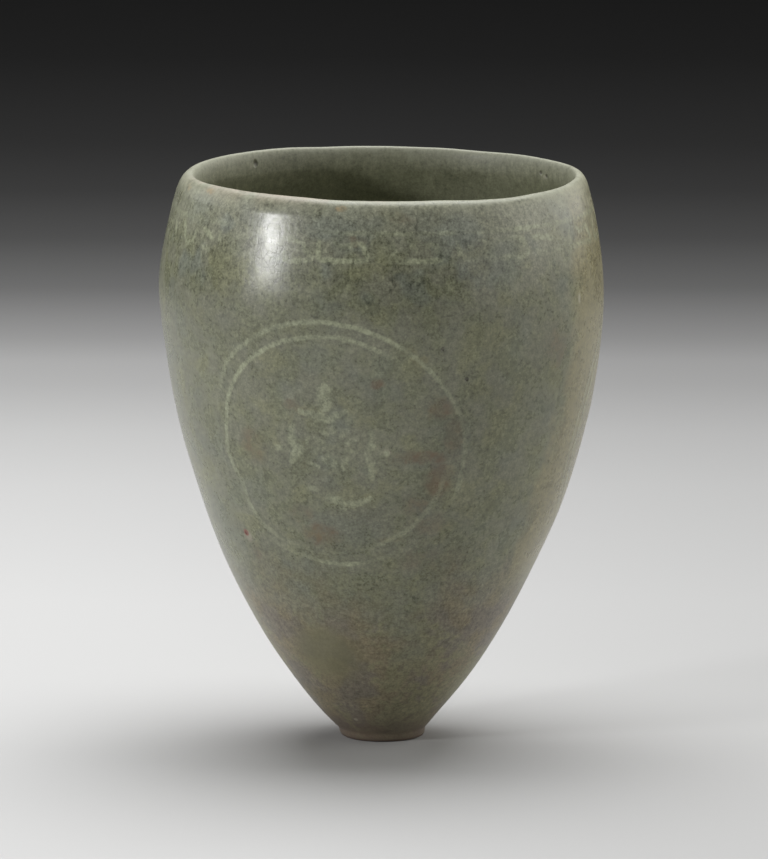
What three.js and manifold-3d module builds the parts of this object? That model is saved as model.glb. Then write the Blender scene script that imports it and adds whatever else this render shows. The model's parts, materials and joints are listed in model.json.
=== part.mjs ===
// An inlaid stoneware cup: a thrown and fired body, egg shaped on a tiny flat foot,
// with lines, frets, rings and flowers of white slip laid into carved recesses.
// Millimetres, +Z up. The origin is the middle of the foot's resting face.
// The front, where the best kept flower ring lies, faces -Y.

import * as THREE from "three";
import { mergeVertices } from "three/addons/utils/BufferGeometryUtils.js";
import Module from "manifold-3d";

// Body sizes. The belly, the band and the rings are placed from the mouth down.
const cupHeight = 121.6;
const bellyRadius = 47.2;
const bellyDrop = 24.6;
const mouthDrawIn = 3.8;
const lipThickness = 3;
const wallThickness = 3.6;
const floorThickness = 15;

// Foot sizes
const footRadius = 8.9;
const footFlare = 0.4;
const footHeight = 1.8;
const footChamfer = 0.3;

// How the wall bends: the reach of each curve's handles, and the slopes they start at
const coneReach = 40;
const bellyReach = 22;
const coneSlopeDegrees = 46;
const shoulderStartReach = 2;
const shoulderEndReach = 7;
const lipLeanDegrees = 102;
const floorReach = 20;
const innerBellyReach = 39;

// Slip sizes
const slipDepth = 0.8;
const slipLineWidth = 0.9;
const slipClearance = 0.12;
const cutOverrun = 0.6;

// Band below the mouth: from the rim to its upper line, and from there to its lower line
const bandDrop = 7.1;
const bandRise = 5.8;

// Flower rings: the wall left bare below the band, then the rings and the flower
const ringGap = 12.6;
const outerRingRadius = 27.6;
const ringSpacing = 2.7;
const flowerHeadRadius = 5.4;
const leafGap = 0.6;
const leafLength = 7.4;
const leafSpread = 5.8;
const leafTipWidth = 2.8;

// Counts and angles
const turnSegments = 40;
const ringSegments = 28;
const bellySegments = 12;
const shoulderSegments = 4;
const lipSegments = 4;
const hollowSegments = 8;
const ringCount = 3;
const firstRingDegrees = -15.1;
const petalCount = 12;
const leafCount = 4;
const halvings = 40;
const rearFretCount = 12;
const rearFretStartDegrees = 60;
const rearFretEndDegrees = 276;
const rearFretWidthShare = 0.76;

// The frets cut by hand on the front: where each starts and ends round the cup
const frontFretDegrees = [
  [-84, -70.5],
  [-67.3, -50.8],
  [-48.3, -34.5],
  [-32.3, -18.3],
  [-17, -3],
  [3, 16.6],
  [20.3, 41.5],
  [43.8, 57.3],
];

// One fret as a single stroke: shares of its width and of the band's height
const fretPathShares = [
  [0, 0.7],
  [0.055, 0],
  [0.53, 0],
  [1, 0],
  [0.87, 0.44],
  [0.8, 0.62],
  [0.44, 0.49],
  [0.27, 0.72],
];

// One petal: shares of a petal's angle and of the flower head's radius
const petalShares = [
  [0, 0.5],
  [0.3, 1],
  [0.7, 1],
];

// A leaf's two arms: shares of its spread, and of the way from its root to its reach
const leafArmShares = [
  [-1, 0.3],
  [-0.5, 0.2],
  [0, 0.04],
  [0.45, 0.24],
  [0.92, 0.37],
];

// A leaf's tip lobe: shares of the way from root to reach, and of the tip's width
const leafTipShares = [
  [0.04, 0.25],
  [0.5, 1],
  [0.82, 0.68],
  [1, 0.12],
];

const wasm = await Module();
wasm.setup();

const degree = Math.PI / 180;

// Heights and radii that follow
const bellyHeight = cupHeight - bellyDrop;
const lipHeight = cupHeight - lipThickness / 2;
const lipOuterRadius = bellyRadius - mouthDrawIn;
const lipInnerRadius = lipOuterRadius - lipThickness;
const innerBellyRadius = bellyRadius - wallThickness;
const innerRingRadius = outerRingRadius - ringSpacing;
const leafRoot = flowerHeadRadius + leafGap;

// A point of a turned profile, or of a flat drawing
function point(radius, height) {
  return new THREE.Vector2(radius, height);
}

function polarStep(reach, angle) {
  return point(reach * Math.cos(angle), reach * Math.sin(angle));
}

// The wall's curves, as radius and height
function bellyCurve() {
  const foot = point(footRadius + footFlare, footHeight);
  const belly = point(bellyRadius, bellyHeight);
  const coneHandle = foot.clone().add(polarStep(coneReach, coneSlopeDegrees * degree));
  const bellyHandle = point(bellyRadius, bellyHeight - bellyReach);
  return new THREE.CubicBezierCurve(foot, coneHandle, bellyHandle, belly);
}

function shoulderCurve(radiusAtBelly, radiusAtLip) {
  const belly = point(radiusAtBelly, bellyHeight);
  const lip = point(radiusAtLip, lipHeight);
  const bellyHandle = point(radiusAtBelly, bellyHeight + shoulderStartReach);
  const lean = lipLeanDegrees * degree;
  const lipHandle = lip.clone().sub(polarStep(shoulderEndReach, lean));
  return new THREE.CubicBezierCurve(belly, bellyHandle, lipHandle, lip);
}

function hollowCurve() {
  const floor = point(0, floorThickness);
  const floorHandle = point(floorReach, floorThickness);
  const bellyHandle = point(innerBellyRadius, bellyHeight - innerBellyReach);
  const belly = point(innerBellyRadius, bellyHeight);
  return new THREE.CubicBezierCurve(floor, floorHandle, bellyHandle, belly);
}

// The outer wall as one line from the foot to the lip, measured along its length
const outerWall = new THREE.CurvePath();
outerWall.add(bellyCurve());
outerWall.add(shoulderCurve(bellyRadius, lipOuterRadius));
const outerLength = outerWall.getLength();
const bandTopAlong = alongAtHeight(cupHeight - bandDrop);
const bandBottomAlong = alongAtHeight(cupHeight - bandDrop - bandRise);
const ringAlong = bandBottomAlong - ringGap - outerRingRadius;

// How far along the outer wall a height lies, found by halving
function alongAtHeight(height) {
  let low = 0;
  let high = outerLength;
  for (let step = 0; step < halvings; step += 1) {
    const middle = (low + high) / 2;
    if (outerWall.getPointAt(middle / outerLength).y < height) low = middle;
    else high = middle;
  }
  return low;
}

// A point on the cup: along the wall from the foot, round from the front, and sunk below
// the surface, square to it. Around is an arc length beside the angle given.
function onSurface(along, angle, around, sunk) {
  const share = THREE.MathUtils.clamp(along / outerLength, 0, 1);
  const onWall = outerWall.getPointAt(share);
  const slope = outerWall.getTangentAt(share);
  const turn = angle + around / onWall.x;
  const radius = onWall.x - sunk * slope.y;
  const height = onWall.y + sunk * slope.x;
  return new THREE.Vector3(radius * Math.sin(turn), -radius * Math.cos(turn), height);
}

// Solids from geometries, and back
function solidOf(geometry) {
  const bare = geometry.clone();
  bare.deleteAttribute("normal");
  bare.deleteAttribute("uv");
  const merged = mergeVertices(bare);
  const vertProperties = new Float32Array(merged.attributes.position.array);
  const triVerts = new Uint32Array(merged.index.array);
  return new wasm.Manifold(new wasm.Mesh({ numProp: 3, vertProperties, triVerts }));
}

function geometryOf(solid) {
  const mesh = solid.getMesh();
  const geometry = new THREE.BufferGeometry();
  geometry.setAttribute("position", new THREE.BufferAttribute(mesh.vertProperties, 3));
  geometry.setIndex(new THREE.BufferAttribute(mesh.triVerts, 1));
  geometry.computeVertexNormals();
  return geometry;
}

function turned(profile, segments) {
  const geometry = new THREE.LatheGeometry(profile, segments);
  geometry.rotateX(Math.PI / 2);
  return geometry;
}

// A flat drawing (x round the cup, y up the wall) thickened and laid on the cup.
// Recesses pass the surface by an overrun and go deeper than the slip by its clearance.
function laidOn(flatSolid, along, angle, isRecess) {
  const geometry = geometryOf(flatSolid);
  const places = geometry.attributes.position;
  const top = isRecess ? -cutOverrun : 0;
  const bottom = isRecess ? slipDepth + slipClearance : slipDepth;
  for (let i = 0; i < places.count; i += 1) {
    const sunk = THREE.MathUtils.lerp(bottom, top, places.getZ(i) / slipDepth);
    const place = onSurface(along + places.getY(i), angle, places.getX(i), sunk);
    places.setXYZ(i, place.x, place.y, place.z);
  }
  geometry.computeVertexNormals();
  return geometry;
}

// A stroke: a box in sections along its path, widened to both sides, mitred at the
// corners and grown all round by a margin.
function stroke(path, widths, margin) {
  const sections = path.length - 1;
  const edges = path.map((place, i) => strokeEdges(path, widths[i], margin, i));
  const box = new THREE.BoxGeometry(1, 1, slipDepth, sections, 1, 1);
  const places = box.attributes.position;
  for (let i = 0; i < places.count; i += 1) {
    const station = Math.round((places.getX(i) + 1 / 2) * sections);
    const edge = edges[station][places.getY(i) < 0 ? 0 : 1];
    places.setXY(i, edge.x, edge.y);
  }
  box.translate(0, 0, slipDepth / 2);
  return solidOf(box);
}

function strokeEdges(path, width, margin, i) {
  const place = path[i].clone();
  const isFirst = i === 0;
  const isLast = i === path.length - 1;
  const into = place.clone().sub(path[isFirst ? 0 : i - 1]).normalize();
  const out = path[isLast ? i : i + 1].clone().sub(place).normalize();
  if (isFirst) place.addScaledVector(into.copy(out), -margin);
  if (isLast) place.addScaledVector(out.copy(into), margin);
  const heading = into.clone().add(out).normalize();
  const side = point(-heading.y, heading.x);
  const mitre = (width / 2 + margin) / heading.dot(into);
  return [place.clone().addScaledVector(side, -mitre), place.clone().addScaledVector(side, mitre)];
}

function line(path, margin) {
  const widths = path.map(() => slipLineWidth);
  return stroke(path, widths, margin);
}

// A closed line: a turned square section
function ringLine(radius, margin) {
  const half = slipLineWidth / 2 + margin;
  const profile = [point(radius - half, 0), point(radius + half, 0)];
  profile.push(point(radius + half, slipDepth), point(radius - half, slipDepth));
  profile.push(profile[0]);
  return solidOf(turned(profile, ringSegments));
}

// A flower head: a disc whose rim is drawn out into petals
function flowerHead(margin) {
  const rim = [];
  for (let petal = 0; petal < petalCount; petal += 1) {
    for (const [turnShare, radiusShare] of petalShares) {
      const turn = ((petal + turnShare) / petalCount) * 2 * Math.PI;
      rim.push(polarStep(flowerHeadRadius * radiusShare + margin, turn));
    }
  }
  const disc = new THREE.CylinderGeometry(1, 1, slipDepth, rim.length);
  disc.rotateX(Math.PI / 2);
  disc.translate(0, 0, slipDepth / 2);
  const places = disc.attributes.position;
  for (let i = 0; i < places.count; i += 1) {
    const place = point(places.getX(i), places.getY(i));
    if (place.length() < 1 / 2) continue;
    const station = Math.round((place.angle() / (2 * Math.PI)) * rim.length) % rim.length;
    places.setXY(i, rim[station].x, rim[station].y);
  }
  return solidOf(disc);
}

// A leaf of three lobes: two arms and a tip, pointing away from the flower head
function leaf(turn, margin) {
  const centre = point(0, 0);
  const placed = (across, out) =>
    point(leafSpread * across, leafRoot + leafLength * out).rotateAround(centre, turn);
  const arms = leafArmShares.map(([across, out]) => placed(across, out));
  const tip = leafTipShares.map(([out]) => placed(0, out));
  const tipWidths = leafTipShares.map(([, widthShare]) => leafTipWidth * widthShare);
  return line(arms, margin).add(stroke(tip, tipWidths, margin));
}

// One fret between two angles round the cup
function fret(widthAngle, margin) {
  const width = widthAngle * outerWall.getPointAt(bandBottomAlong / outerLength).x;
  const rise = bandTopAlong - bandBottomAlong;
  const path = fretPathShares.map(([across, up]) => point(width * across, rise * up));
  return line(path, margin);
}

// The line round the top of the band, as a turned ring with a square section
function bandLine(isRecess) {
  const margin = isRecess ? slipClearance : 0;
  const top = isRecess ? -cutOverrun : 0;
  const bottom = isRecess ? slipDepth + slipClearance : slipDepth;
  const half = slipLineWidth / 2 + margin;
  const corner = (aside, sunk) => {
    const place = onSurface(bandTopAlong + aside, Math.PI / 2, 0, sunk);
    return point(place.x, place.z);
  };
  const profile = [corner(-half, bottom), corner(-half, top), corner(half, top)];
  profile.push(corner(half, bottom), corner(-half, bottom));
  return turned(profile, turnSegments);
}

// The turned body before it is carved
function bodyBlank() {
  const lipMiddle = point(lipOuterRadius - lipThickness / 2, lipHeight);
  const lipArc = new THREE.EllipseCurve(
    lipMiddle.x, lipMiddle.y, lipThickness / 2, lipThickness / 2, 0, Math.PI,
  );
  const profile = [point(0, 0), point(footRadius - footChamfer, 0), point(footRadius, footChamfer)];
  profile.push(...bellyCurve().getPoints(bellySegments));
  profile.push(...shoulderCurve(bellyRadius, lipOuterRadius).getPoints(shoulderSegments).slice(1));
  profile.push(...lipArc.getPoints(lipSegments).slice(1, -1));
  const innerShoulder = shoulderCurve(innerBellyRadius, lipInnerRadius);
  profile.push(...innerShoulder.getPoints(shoulderSegments).reverse());
  profile.push(...hollowCurve().getPoints(hollowSegments).reverse().slice(1));
  return solidOf(turned(profile, turnSegments));
}

// Materials
function material(name, color, roughness) {
  return new THREE.MeshStandardMaterial({ name, color, roughness, metalness: 0 });
}

const celadonGlaze = () => material("celadonGlaze", 0x787a66, 0.3);
const whiteSlip = () => material("whiteSlip", 0xa9ab90, 0.35);

// Every inlay, as its name and a maker that gives either the slip or its recess
function inlays() {
  const made = [{ name: "band_upper_line", make: (isRecess) => bandLine(isRecess) }];
  fretPlaces().forEach(([start, end], i) => {
    const make = (isRecess) => {
      const margin = isRecess ? slipClearance : 0;
      const drawn = fret((end - start) * degree, margin);
      return laidOn(drawn, bandBottomAlong, start * degree, isRecess);
    };
    made.push({ name: `band_fret_${twoDigits(i + 1)}`, make });
  });
  for (let ring = 0; ring < ringCount; ring += 1) {
    made.push(...ringInlays(ring));
  }
  return made;
}

function fretPlaces() {
  const pitch = (rearFretEndDegrees - rearFretStartDegrees) / rearFretCount;
  const rear = Array.from({ length: rearFretCount }, (_, i) => {
    const start = rearFretStartDegrees + i * pitch;
    return [start, start + pitch * rearFretWidthShare];
  });
  return [...frontFretDegrees, ...rear];
}

function ringInlays(ring) {
  const angle = (firstRingDegrees + (ring * 360) / ringCount) * degree;
  const prefix = `medallion_${ring + 1}`;
  const inlay = (name, draw) => ({
    name: `${prefix}_${name}`,
    make: (isRecess) => {
      const margin = isRecess ? slipClearance : 0;
      return laidOn(draw(margin), ringAlong, angle, isRecess);
    },
  });
  const made = [
    inlay("outer_ring", (margin) => ringLine(outerRingRadius, margin)),
    inlay("inner_ring", (margin) => ringLine(innerRingRadius, margin)),
    inlay("flower_head", (margin) => flowerHead(margin)),
  ];
  for (let i = 0; i < leafCount; i += 1) {
    const turn = (i / leafCount) * 2 * Math.PI;
    made.push(inlay(`leaf_${i + 1}`, (margin) => leaf(turn, margin)));
  }
  return made;
}

function twoDigits(number) {
  return String(number).padStart(2, "0");
}

function named(name, geometry, finish) {
  const mesh = new THREE.Mesh(geometry, finish);
  mesh.name = name;
  return mesh;
}

// Assembly: the carved body, then each inlay in its recess
const cup = new THREE.Group();
const parts = inlays();
const recesses = parts.map(({ make }) => solidOf(make(true)));
const carved = recesses.reduce((body, recess) => body.subtract(recess), bodyBlank());
cup.add(named("cup_body", geometryOf(carved), celadonGlaze()));
for (const { name, make } of parts) {
  cup.add(named(name, make(false), whiteSlip()));
}

export default cup;
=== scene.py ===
import json
import math
import random

import bpy
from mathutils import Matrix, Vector

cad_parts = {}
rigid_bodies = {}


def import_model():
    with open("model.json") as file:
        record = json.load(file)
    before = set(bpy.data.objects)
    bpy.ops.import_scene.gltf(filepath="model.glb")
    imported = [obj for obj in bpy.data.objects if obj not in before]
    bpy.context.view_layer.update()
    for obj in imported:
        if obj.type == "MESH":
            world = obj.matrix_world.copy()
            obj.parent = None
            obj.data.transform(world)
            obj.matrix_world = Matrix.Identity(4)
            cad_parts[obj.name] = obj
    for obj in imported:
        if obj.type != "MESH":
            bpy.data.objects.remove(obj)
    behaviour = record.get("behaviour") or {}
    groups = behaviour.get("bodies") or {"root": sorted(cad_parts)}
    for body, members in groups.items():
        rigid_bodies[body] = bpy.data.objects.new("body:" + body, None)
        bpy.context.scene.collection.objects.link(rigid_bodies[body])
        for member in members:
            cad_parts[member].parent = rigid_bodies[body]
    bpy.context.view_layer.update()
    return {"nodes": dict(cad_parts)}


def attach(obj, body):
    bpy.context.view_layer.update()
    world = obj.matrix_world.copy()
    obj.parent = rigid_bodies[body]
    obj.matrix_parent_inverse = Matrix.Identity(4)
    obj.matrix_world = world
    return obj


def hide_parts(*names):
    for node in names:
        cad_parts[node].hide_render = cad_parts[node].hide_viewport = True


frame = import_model()

# The cup's lengths are in millimetres and become metres where a mesh is made. The camera's
# and the studio's are in metres. Azimuth runs from the front, -Y, towards +X, in degrees.
mm = 0.001
rand = random.Random(11)  # a fixed start, so that every run makes the same cup
print("frame loaded,", len(frame["nodes"]), "nodes")


def addObject(name, data):
    thing = bpy.data.objects.new(name, data)
    bpy.context.scene.collection.objects.link(thing)
    return thing


# Camera and studio

camera = {
    "lens": 355.6,
    "sensor": 36.0,
    "distance": 1.8,
    "pitchDegrees": 9.8,
    "targetHeight": 0.0659,
    "sideStep": 0.0004,
    "farEnd": 50,
}


def addCamera():
    pitch = math.radians(camera["pitchDegrees"])
    data = bpy.data.cameras.new("photo_camera")
    data.sensor_width = camera["sensor"]
    data.lens = camera["lens"]
    data.clip_end = camera["farEnd"]
    view = addObject("photo_camera", data)
    view.location = (
        camera["sideStep"],
        -camera["distance"] * math.cos(pitch),
        camera["targetHeight"] + camera["distance"] * math.sin(pitch),
    )
    view.rotation_euler = (math.pi / 2 - pitch, 0, 0)
    bpy.context.scene.camera = view


studio = {
    "worldLight": 0.057,
    "floorReach": 8.0,
    "floorPaintedFalloff": 1.5,  # metres from the cup to the end of the painted falloff of light
    "floorFalloffStops": [  # share of the painted falloff, grey of the paper
        (0.0, 0.5), (0.05, 0.485), (0.1, 0.47), (0.15, 0.437), (0.2, 0.402), (0.252, 0.346),
        (0.302, 0.268), (0.327, 0.245), (0.353, 0.184), (0.413, 0.0885), (0.477, 0.0435),
        (0.543, 0.023), (0.613, 0.014), (0.76, 0.0064), (1.0, 0.004),
    ],
    "floorDim": 0.22, "floorDimReach": 0.12,  # the paper gets less light on the right
    "floorRoughness": 0.85, "floorShine": 0.1,
    "fibreSize": 0.8, "fibreDetail": 2.0, "fibreHeight": 0.01,  # millimetres
    # name, shape, azimuth, distance, height, width, tall, power and colour of each light
    "boxes": [
        ("left_softbox", "ELLIPSE", -61.5, 1.2, 0.378, 0.2, 0.115, 5.6, (1, 1, 1)),
        ("left_fill", "RECTANGLE", -112, 1.3, 0.64, 1.5, 0.6, 3.2, (1, 1, 0.98)),
        ("left_front_glow", "RECTANGLE", -56, 1.3, 0.28, 1.1, 0.5, 0.95, (1, 1, 1)),
        ("right_reflector", "RECTANGLE", 112, 1.2, 0.5, 1.5, 0.8, 6.8, (1, 0.98, 0.93)),
        ("right_front_fill", "RECTANGLE", 64, 1.4, 0.55, 1.1, 1.1, 3.9, (1, 0.99, 0.94)),
        ("overhead_silk", "RECTANGLE", 174, 0.44, 1.5, 1.5, 1.35, 40.2, (1, 1, 1)),
    ],
}


def addSoftbox(name, shape, azimuth, distance, height, width, tall, power, colour):
    data = bpy.data.lights.new(name, "AREA")
    data.shape = shape
    data.size = width
    data.size_y = tall
    data.energy = power
    data.color = colour
    light = addObject(name, data)
    turn = math.radians(azimuth)
    spot = Vector((math.sin(turn), -math.cos(turn), 0)) * distance
    spot.z = height
    light.location = spot
    aim = Vector((0, 0, camera["targetHeight"])) - spot
    light.rotation_euler = aim.to_track_quat("-Z", "Y").to_euler()


def addWorld():
    world = bpy.data.worlds.new("dim_studio")
    world.use_nodes = True
    grey = studio["worldLight"]
    world.node_tree.nodes["Background"].inputs["Color"].default_value = (grey, grey, grey, 1)
    bpy.context.scene.world = world
    bpy.context.scene.view_settings.view_transform = "Standard"


# Shader maths: a wire is one socket, and sums on wires add nodes

class Wire:
    def __init__(self, recipe, socket):
        self.recipe = recipe
        self.socket = socket

    def sum(self, operation, first, second):
        return self.recipe.make("ShaderNodeMath", {"operation": operation}, {0: first, 1: second})

    def __add__(self, other):
        return self.sum("ADD", self, other)

    __radd__ = __add__

    def __sub__(self, other):
        return self.sum("SUBTRACT", self, other)

    def __rsub__(self, other):
        return self.sum("SUBTRACT", other, self)

    def __mul__(self, other):
        return self.sum("MULTIPLY", self, other)

    __rmul__ = __mul__

    def __truediv__(self, other):
        return self.sum("DIVIDE", self, other)

    def orMore(self, other):
        return self.sum("MAXIMUM", self, other)

    def orLess(self, other):
        return self.sum("MINIMUM", self, other)


class Recipe:
    def __init__(self, name):
        self.material = bpy.data.materials.new(name)
        self.material.use_nodes = True
        self.tree = self.material.node_tree
        self.tree.nodes.clear()

    def make(self, kind, settings, sockets, out=0):
        node = self.tree.nodes.new(kind)
        for key, value in settings.items():
            if key == "stops":
                self.setStops(node.color_ramp, value)
            else:
                setattr(node, key, value)
        for key, value in sockets.items():
            self.join(node.inputs[key], value)
        return Wire(self, node.outputs[out]) if len(node.outputs) else None

    def join(self, entry, value):
        if isinstance(value, Wire):
            self.tree.links.new(value.socket, entry)
        elif isinstance(value, (tuple, list)) and len(value) < len(entry.default_value):
            entry.default_value = (*value, 1.0)
        else:
            entry.default_value = value

    def setStops(self, ramp, stops):
        while len(ramp.elements) < len(stops):
            ramp.elements.new(1.0)
        for element, (share, grey) in zip(ramp.elements, stops):
            element.position = share
            element.color = (grey, grey, grey, 1.0)

    def blend(self, share, first, second, way="MIX"):
        settings = {"data_type": "RGBA", "blend_type": way, "clamp_factor": True}
        return self.make("ShaderNodeMix", settings, {0: share, 6: first, 7: second}, out=2)

    def fade(self, value, start, end):
        settings = {"interpolation_type": "SMOOTHSTEP"}
        return self.make("ShaderNodeMapRange", settings, {0: value, 1: start, 2: end})

    def cloud(self, where, size, detail, rough=0.5):
        sockets = {"Vector": where, "Scale": 1 / size, "Detail": detail, "Roughness": rough}
        return self.make("ShaderNodeTexNoise", {"noise_dimensions": "3D"}, sockets)

    def vector(self, operation, first, second, out=0):
        settings = {"operation": operation}
        return self.make("ShaderNodeVectorMath", settings, {0: first, 1: second}, out)

    def scaled(self, where, share):
        settings = {"operation": "SCALE"}
        return self.make("ShaderNodeVectorMath", settings, {0: where, "Scale": share})

    def parts(self, where):
        node = self.make("ShaderNodeSeparateXYZ", {}, {0: where}).socket.node
        return [Wire(self, output) for output in node.outputs]

    def even(self, value):
        return self.make("ShaderNodeCombineXYZ", {}, {0: value, 1: value, 2: value})

    def stored(self, name):
        settings = {"attribute_type": "GEOMETRY", "attribute_name": name}
        return self.make("ShaderNodeAttribute", settings, {}, out=2)

    def finish(self, colour, roughness, height, fixed):
        bump = self.make("ShaderNodeBump", {}, {"Strength": 1.0, "Distance": mm, "Height": height})
        sockets = {"Base Color": colour, "Roughness": roughness, "Normal": bump}
        surface = self.make("ShaderNodeBsdfPrincipled", {}, {**sockets, **fixed})
        self.make("ShaderNodeOutputMaterial", {}, {"Surface": surface})
        return self.material


# The turned form: outer wall, lip and hollow as one profile of radius and height

cup = {
    "foot": [(0.0, 0.0), (4.4, 0.0), (8.35, 0.0), (8.75, 0.2), (9.0, 0.55), (9.15, 1.0), (9.24, 1.45)],
    "belly": [(9.3, 1.8), (37.086, 30.574), (47.2, 75.0), (47.2, 97.0)],
    "bellyTop": 92.5,  # the shoulder takes over from here
    "bellyGap": 0.4, "lipGap": 0.1,  # rows nearer than this to a join are left out
    "shoulder": [(47.073, 92.5), (47.5, 100.5), (46.35, 106.0), (43.2, 120.1)],
    "lipHeight": 120.1,
    "lipStart": 118.1, "lipCrest": (41.35, 121.58), "lipEnd": 116.5,
    "lipOuterReach": 1.4, "lipOuterRise": 1.9, "lipInnerReach": 0.9, "lipInnerRise": 1.5,
    "innerShoulder": [(43.6, 97.0), (43.6, 99.0), (41.855, 113.253), (40.24, 120.1)],
    "hollow": [(0.0, 15.0), (20.0, 15.0), (43.6, 58.0), (43.6, 97.0)],
    "bellyRows": 132, "shoulderRows": 34, "lipRows": 22, "innerRows": 20, "hollowRows": 56,
    "columns": 320, "innerSteps": 40,
    # height, how far the wall leans to the right there, how much thinner it was thrown
    "lean": [
        (0, 0.2, 0), (1.2, 0.05, 0), (2.1, -0.1, 0), (3, -0.28, 0.08), (4.4, -0.38, 0.2),
        (7, -0.38, 0.12), (10, -0.3, 0.06), (15, -0.22, 0.06), (20, -0.3, 0.08), (27, -0.27, 0.15),
        (34, -0.27, 0.2), (39, -0.2, 0.16), (46, 0.05, 0.06), (51, 0.2, 0.06), (57, 0.27, 0.09),
        (65, 0.18, 0.05), (72, 0.25, 0.04), (77, 0.2, 0.13), (84, 0.18, 0.23), (88, 0.06, 0.19),
        (92.5, -0.07, 0.11), (97, -0.22, 0.05), (100, -0.26, 0.02), (106, -0.1, 0), (112, 0.05, 0),
        (118, 0.15, 0), (122, 0.1, 0),
    ],
    "leanBlend": 3.0, "leanSamples": 6, "leanTop": 123, "leanPerMm": 10,
    # azimuth and how far the hand-cut mouth stays below the highest point
    "rimDrop": [
        (-180, 0.68), (-165, 0.58), (-149, 0.22), (-130, 0.22), (-110, 0.4), (-90, 0.7), (-70, 0.55),
        (-50, 0.4), (-38, 0.45), (-25, 0.5), (-12, 0.78), (0, 0.85), (14, 0.9), (30, 1.35), (40, 1.45),
        (52, 1.3), (90, 0.8), (132, 0.85), (150, 0.98), (166, 0.85), (180, 0.68),
    ],
    "rimDropFrom": 113.5, "rimDropRise": 6,
    "rimNotches": (0.05, 9, 1, 4),  # depth, notches round the mouth, where they start, groups
    "lipSwell": (0.3, 0.65), "lipSwellTurn": 0.1,  # the lip is thickest on the left
    "lipSwellWave": (0.12, 4),  # share of the swell, waves round the mouth
    "lipSwellFrom": 88.0, "lipSwellRise": 30.0,
    "waver": 0.06, "fullWaverRadius": 30,
    "wavers": [(2, 0.7, 37), (3, 2.1, -23)],  # times round, where it starts, how slowly it twists
    "ridge": 0.002, "ridgePitch": 3.1, "ridgeTwist": 11,  # throwing lines
    # azimuth and how far the pale lip reaches down outside: glaze rubbed thin there, with painted light on
    # the lip's top
    "crestReach": [
        (-180, 0.9), (-110, 1), (-80, 1.5), (-60, 1.7), (-40, 1.8), (-22, 1.7), (-8, 1.1), (14, 1.1),
        (28, 1.8), (50, 2.1), (70, 1.4), (85, 0.9), (180, 0.9),
    ],
    # inside the mouth the pale lip reaches further down: painted light on the back lip's inner side
    "insideReach": 2.8, "crestFall": 1.5,
    "footShade": 1.0,  # the glaze was wiped off up to this height
}


def bezier(points, share):
    rest = 1 - share
    parts = (rest**3, 3 * rest**2 * share, 3 * rest * share**2, share**3)
    return tuple(sum(w * p[i] for w, p in zip(parts, points)) for i in (0, 1))


def curveRows(points, count):
    return [bezier(points, i / count) for i in range(1, count + 1)]


def outerRows():
    rows = list(cup["foot"])
    belly = [cup["belly"][0]] + curveRows(cup["belly"], cup["bellyRows"])
    rows += [row for row in belly if row[1] < cup["bellyTop"] - cup["bellyGap"]] + [cup["shoulder"][0]]
    rows += curveRows(cup["shoulder"], cup["shoulderRows"])
    return rows


wall = outerRows()
wallAlong = [0.0]
for (r0, z0), (r1, z1) in zip(wall, wall[1:]):
    wallAlong.append(wallAlong[-1] + math.hypot(r1 - r0, z1 - z0))
wallStart = next(i for i, (_, z) in enumerate(wall) if z > 0)  # above the flat underside
innerWall = [cup["innerShoulder"][0]] + curveRows(cup["innerShoulder"], cup["innerSteps"])


def between(value, keys, results):
    if value <= keys[0]:
        return results[0]
    for k0, k1, v0, v1 in zip(keys, keys[1:], results, results[1:]):
        if value <= k1:
            return v0 + (v1 - v0) * (value - k0) / (k1 - k0)
    return results[-1]


wallHeights = [z for _, z in wall[wallStart:]]
wallRadii = [r for r, _ in wall[wallStart:]]


def radiusAt(height):
    return between(height, wallHeights, wallRadii)


def alongAt(height):
    return between(height, wallHeights, wallAlong[wallStart:])


def heightAlong(along):
    return between(along, wallAlong[wallStart:], wallHeights)


def eased(share):
    share = min(1.0, max(0.0, share))
    return share * share * (3 - 2 * share)


def leanTable():
    heights = [step[0] for step in cup["lean"]]
    reach, half, perMm = cup["leanBlend"], cup["leanSamples"], cup["leanPerMm"]
    table = []
    for number in range(cup["leanTop"] * perMm):
        height = number / perMm
        near = [height + reach * (i / half - 1) for i in range(2 * half + 1)]
        row = []
        for column in (1, 2):
            values = [step[column] for step in cup["lean"]]
            row.append(sum(between(h, heights, values) for h in near) / len(near))
        table.append(row)
    return table


leanSteps = leanTable()


def leanAt(height):
    at = max(0.0, height * cup["leanPerMm"])
    first = min(int(at), len(leanSteps) - 2)
    share = at - first
    return tuple(a + (b - a) * share for a, b in zip(leanSteps[first], leanSteps[first + 1]))


def rimDropAt(azimuth):
    azimuth = (azimuth + 180) % 360 - 180
    steps = cup["rimDrop"]
    for (a0, drop0), (a1, drop1) in zip(steps, steps[1:]):
        if azimuth <= a1:
            return drop0 + (drop1 - drop0) * eased((azimuth - a0) / (a1 - a0))
    return steps[-1][1]


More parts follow.
